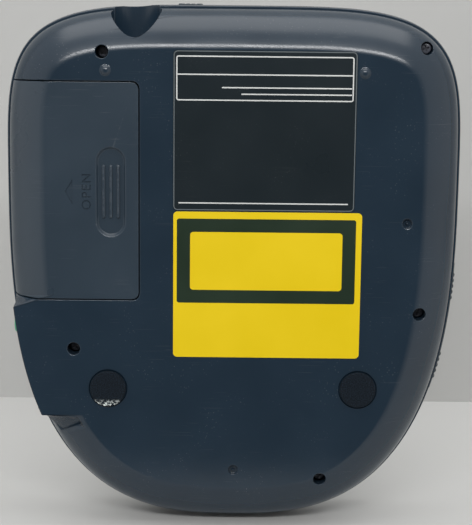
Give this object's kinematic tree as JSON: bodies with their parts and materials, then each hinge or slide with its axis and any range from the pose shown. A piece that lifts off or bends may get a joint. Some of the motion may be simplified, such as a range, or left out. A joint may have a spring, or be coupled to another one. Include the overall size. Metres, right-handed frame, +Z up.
{
  "type": "portable cd player",
  "caption": "Portable disc player with a rounded case, a lid on a rear hinge, a disc well with spindle and pickup, control keys, side sockets and a battery bay behind a sliding door.",
  "frame": {"origin": "centre of the bounding box's base, in the plane that the feet rest on", "axes": "+Z up through the lid, +Y towards the hinge and control strip, -Y towards the rounded front with the open button, +X towards the battery door and sockets"},
  "size_m": [0.132, 0.1528, 0.0296],
  "materials": {
    "slate_plastic": "fine texture",
    "door_plastic": "fine texture",
    "silver_paint": "satin silver paint",
    "dark_plastic": "satin",
    "grip_rubber": "matt",
    "foot_rubber": "matt",
    "green_plastic": "gloss",
    "key_plastic": "satin",
    "black_screw": "black",
    "steel": "bright",
    "board_green": "satin",
    "gear_white": "satin",
    "clear_window": "polished",
    "display_grey": "satin",
    "lens_glass": "polished"
  },
  "bodies": {
    "case": {"bottom_shell": "slate_plastic", "upper_case": "slate_plastic", "battery_case": "slate_plastic", "foot_left": "foot_rubber", "foot_right": "foot_rubber", "side_grip": "grip_rubber", "case_screw_1": "black_screw", "case_screw_2": "black_screw", "case_screw_3": "black_screw", "case_screw_4": "black_screw", "case_screw_5": "black_screw", "hinge_pin_left": "steel", "hinge_pin_right": "steel", "key_board": "board_green", "display_window": "clear_window", "display_module": "display_grey", "phones_socket": "dark_plastic", "phones_collar": "green_plastic", "line_socket": "dark_plastic", "line_collar": "dark_plastic", "dc_socket": "dark_plastic", "main_board": "board_green", "front_contact": "steel", "back_contact": "steel", "front_spring": "steel", "back_spring": "steel", "mechanism_chassis": "steel", "guide_rod_main": "steel", "guide_rod_aux": "steel", "damper_1": "foot_rubber", "damper_2": "foot_rubber", "damper_3": "foot_rubber", "spindle_motor": "steel", "feed_motor": "steel"},
    "lid": {"lid_cover": "silver_paint", "lid_liner": "dark_plastic"},
    "open_button": {"open_button": "silver_paint"},
    "battery_door": {"battery_door": "door_plastic"},
    "hold_switch": {"hold_switch": "grip_rubber"},
    "mode_key": {"mode_key": "key_plastic"},
    "stop_key": {"stop_key": "key_plastic"},
    "play_key": {"play_key": "key_plastic"},
    "skip_back_key": {"skip_back_key": "key_plastic"},
    "skip_forward_key": {"skip_forward_key": "key_plastic"},
    "volume_down_key": {"volume_down_key": "key_plastic"},
    "volume_up_key": {"volume_up_key": "key_plastic"},
    "spindle": {"turntable": "dark_plastic", "spindle_shaft": "steel"},
    "pickup": {"pickup_sled": "dark_plastic", "lens_holder": "dark_plastic", "objective_lens": "lens_glass"},
    "feed_gear": {"feed_gear": "gear_white"},
    "motor_pinion": {"motor_pinion": "gear_white"}
  },
  "joints": [
    {"name": "lid_hinge", "type": "hinge", "parent": "case", "child": "lid", "pos_m": [0, 0.058, 0.0246], "axis": [-1, 0, 0], "range_deg": [0, 75]},
    {"name": "open_button_push", "type": "slide", "parent": "case", "child": "open_button", "axis": [0, 1, 0], "range_m": [0, 0.0012], "stiffness_N_per_m": 400},
    {"name": "battery_door_slide", "type": "slide", "parent": "case", "child": "battery_door", "axis": [1, 0, 0], "range_m": [0, 0.008]},
    {"name": "hold_switch_slide", "type": "slide", "parent": "case", "child": "hold_switch", "axis": [1, 0, 0], "range_m": [0, 0.0022]},
    {"name": "mode_key_press", "type": "slide", "parent": "case", "child": "mode_key", "axis": [0, 0, -1], "range_m": [0, 0.0005], "stiffness_N_per_m": 800},
    {"name": "stop_key_press", "type": "slide", "parent": "case", "child": "stop_key", "axis": [0, 0, -1], "range_m": [0, 0.0005], "stiffness_N_per_m": 800},
    {"name": "play_key_press", "type": "slide", "parent": "case", "child": "play_key", "axis": [0, 0, -1], "range_m": [0, 0.0005], "stiffness_N_per_m": 800},
    {"name": "skip_back_key_press", "type": "slide", "parent": "case", "child": "skip_back_key", "axis": [0, 0, -1], "range_m": [0, 0.0005], "stiffness_N_per_m": 800},
    {"name": "skip_forward_key_press", "type": "slide", "parent": "case", "child": "skip_forward_key", "axis": [0, 0, -1], "range_m": [0, 0.0005], "stiffness_N_per_m": 800},
    {"name": "volume_down_key_press", "type": "slide", "parent": "case", "child": "volume_down_key", "axis": [0, 0, -1], "range_m": [0, 0.0005], "stiffness_N_per_m": 800},
    {"name": "volume_up_key_press", "type": "slide", "parent": "case", "child": "volume_up_key", "axis": [0, 0, -1], "range_m": [0, 0.0005], "stiffness_N_per_m": 800},
    {"name": "spindle_spin", "type": "hinge", "parent": "case", "child": "spindle", "pos_m": [0, -0.01, 0.02], "axis": [0, 0, 1], "continuous": true},
    {"name": "pickup_travel", "type": "slide", "parent": "case", "child": "pickup", "axis": [-0.8572, -0.515, 0], "range_m": [0, 0.033]},
    {"name": "feed_gear_turn", "type": "hinge", "parent": "case", "child": "feed_gear", "pos_m": [-0.01013, -0.03895, 0.0086], "axis": [0, 0, 1], "range_deg": [0, 525.2]},
    {"name": "motor_pinion_turn", "type": "hinge", "parent": "case", "child": "motor_pinion", "pos_m": [-0.01198, -0.05142, 0.0072], "axis": [0, 0, 1], "range_deg": [-1314, 0]}
  ],
  "couplings": [
    {"joint": "pickup_travel", "follows": "feed_gear_turn", "m_per_rad": 0.0036},
    {"joint": "motor_pinion_turn", "follows": "feed_gear_turn", "ratio": -2.5}
  ]
}
